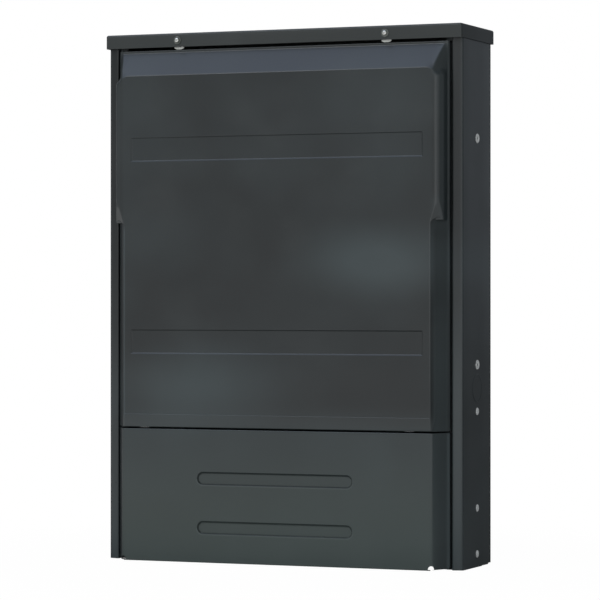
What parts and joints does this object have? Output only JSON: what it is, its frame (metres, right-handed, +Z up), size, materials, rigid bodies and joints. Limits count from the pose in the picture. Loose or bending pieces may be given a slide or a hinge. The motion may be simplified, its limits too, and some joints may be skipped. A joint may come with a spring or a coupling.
{
  "type": "cable distribution cabinet",
  "caption": "Sheet steel ground cabinet with a locked hinged roof, a tilting lift-out door, a pull-off base cover, and fuse switches on busbars inside.",
  "frame": {"origin": "middle of the footprint, on the ground under the cabinet", "axes": "+X to the right seen from the front, +Y to the back, +Z up"},
  "size_m": [0.648, 0.19, 0.9],
  "materials": {
    "cabinet_coat": "satin powder coat, dark green-grey",
    "roof_coat": "satin powder coat, dark green-grey",
    "galvanised_steel": "galvanised",
    "zinc_plating": "bright zinc plating",
    "copper": "plain copper",
    "insulator_red": "moulded insulator",
    "switch_housing": "moulded, fine grain",
    "switch_lid": "moulded, fine grain",
    "fuse_ceramic": "glazed ceramic body with silvered blades",
    "clamp_plastic": "moulded, matt",
    "pocket_plastic": "moulded, matt"
  },
  "bodies": {
    "cabinet": {"side_panel_left": "cabinet_coat", "side_panel_right": "cabinet_coat", "rear_panel": "cabinet_coat", "top_rail_front": "cabinet_coat", "top_rail_rear": "cabinet_coat", "sill_rail": "cabinet_coat", "foot_angle_left": "galvanised_steel", "foot_angle_right": "galvanised_steel", "door_pivot_shoes": "galvanised_steel", "roof_hinge_leaves": "cabinet_coat", "roof_hinge_pins": "galvanised_steel", "gear_bracket_left": "galvanised_steel", "gear_bracket_right": "galvanised_steel", "mounting_rails": "galvanised_steel", "busbar_supports": "insulator_red", "busbar_l1": "copper", "busbar_l2": "copper", "busbar_l3": "copper", "pen_busbar": "copper", "pen_supports": "insulator_red", "pen_clamps": "zinc_plating", "cable_rail": "galvanised_steel", "cable_clamps": "clamp_plastic", "fuse_base_1": "switch_housing", "fuse_base_2": "switch_housing", "fuse_base_3": "switch_housing", "fuse_base_4": "switch_housing", "fuse_base_5": "switch_housing", "fuse_contacts": "copper", "fuse_terminals": "zinc_plating", "side_screws_upper": "zinc_plating", "side_screws_lower": "zinc_plating", "rear_screws": "zinc_plating"},
    "front_door": {"door": "cabinet_coat", "door_pivot_rod": "galvanised_steel", "door_stiffeners": "cabinet_coat", "document_pocket": "pocket_plastic"},
    "base_panel": {"base_cover": "cabinet_coat", "base_cover_hooks": "galvanised_steel"},
    "roof_cover": {"roof": "roof_coat", "roof_hinge_knuckles": "cabinet_coat"},
    "left_lock": {"lock_screw_left": "zinc_plating", "lock_washer_left": "zinc_plating", "lock_tongue_left": "zinc_plating"},
    "right_lock": {"lock_screw_right": "zinc_plating", "lock_washer_right": "zinc_plating", "lock_tongue_right": "zinc_plating"},
    "switch_lid_1": {"fuse_lid_1": "switch_lid", "fuse_links_1": "fuse_ceramic"},
    "switch_lid_2": {"fuse_lid_2": "switch_lid", "fuse_links_2": "fuse_ceramic"},
    "switch_lid_3": {"fuse_lid_3": "switch_lid", "fuse_links_3": "fuse_ceramic"},
    "switch_lid_4": {"fuse_lid_4": "switch_lid", "fuse_links_4": "fuse_ceramic"},
    "switch_lid_5": {"fuse_lid_5": "switch_lid", "fuse_links_5": "fuse_ceramic"}
  },
  "joints": [
    {"name": "door_tilt", "type": "hinge", "parent": "cabinet", "child": "front_door", "pos_m": [0, -0.091, 0.233], "axis": [1, 0, 0], "range_deg": [0, 25]},
    {"name": "base_cover_pull", "type": "slide", "parent": "cabinet", "child": "base_panel", "axis": [0, -1, 0], "range_m": [0, 0.12]},
    {"name": "roof_lift", "type": "hinge", "parent": "cabinet", "child": "roof_cover", "pos_m": [0, 0.0885, 0.878], "axis": [-1, 0, 0], "range_deg": [0, 95]},
    {"name": "lock_turn_left", "type": "hinge", "parent": "roof_cover", "child": "left_lock", "pos_m": [-0.189, -0.069, 0.8874], "axis": [0, 1, 0], "range_deg": [0, 90]},
    {"name": "lock_turn_right", "type": "hinge", "parent": "roof_cover", "child": "right_lock", "pos_m": [0.189, -0.069, 0.8874], "axis": [0, 1, 0], "range_deg": [0, 90]},
    {"name": "fuse_lid_tilt_1", "type": "hinge", "parent": "cabinet", "child": "switch_lid_1", "pos_m": [-0.212, 0.0115, 0.53], "axis": [1, 0, 0], "range_deg": [0, 60]},
    {"name": "fuse_lid_tilt_2", "type": "hinge", "parent": "cabinet", "child": "switch_lid_2", "pos_m": [-0.106, 0.0115, 0.53], "axis": [1, 0, 0], "range_deg": [0, 60]},
    {"name": "fuse_lid_tilt_3", "type": "hinge", "parent": "cabinet", "child": "switch_lid_3", "pos_m": [0, 0.0115, 0.53], "axis": [1, 0, 0], "range_deg": [0, 60]},
    {"name": "fuse_lid_tilt_4", "type": "hinge", "parent": "cabinet", "child": "switch_lid_4", "pos_m": [0.106, 0.0115, 0.53], "axis": [1, 0, 0], "range_deg": [0, 60]},
    {"name": "fuse_lid_tilt_5", "type": "hinge", "parent": "cabinet", "child": "switch_lid_5", "pos_m": [0.212, 0.0115, 0.53], "axis": [1, 0, 0], "range_deg": [0, 60]}
  ]
}
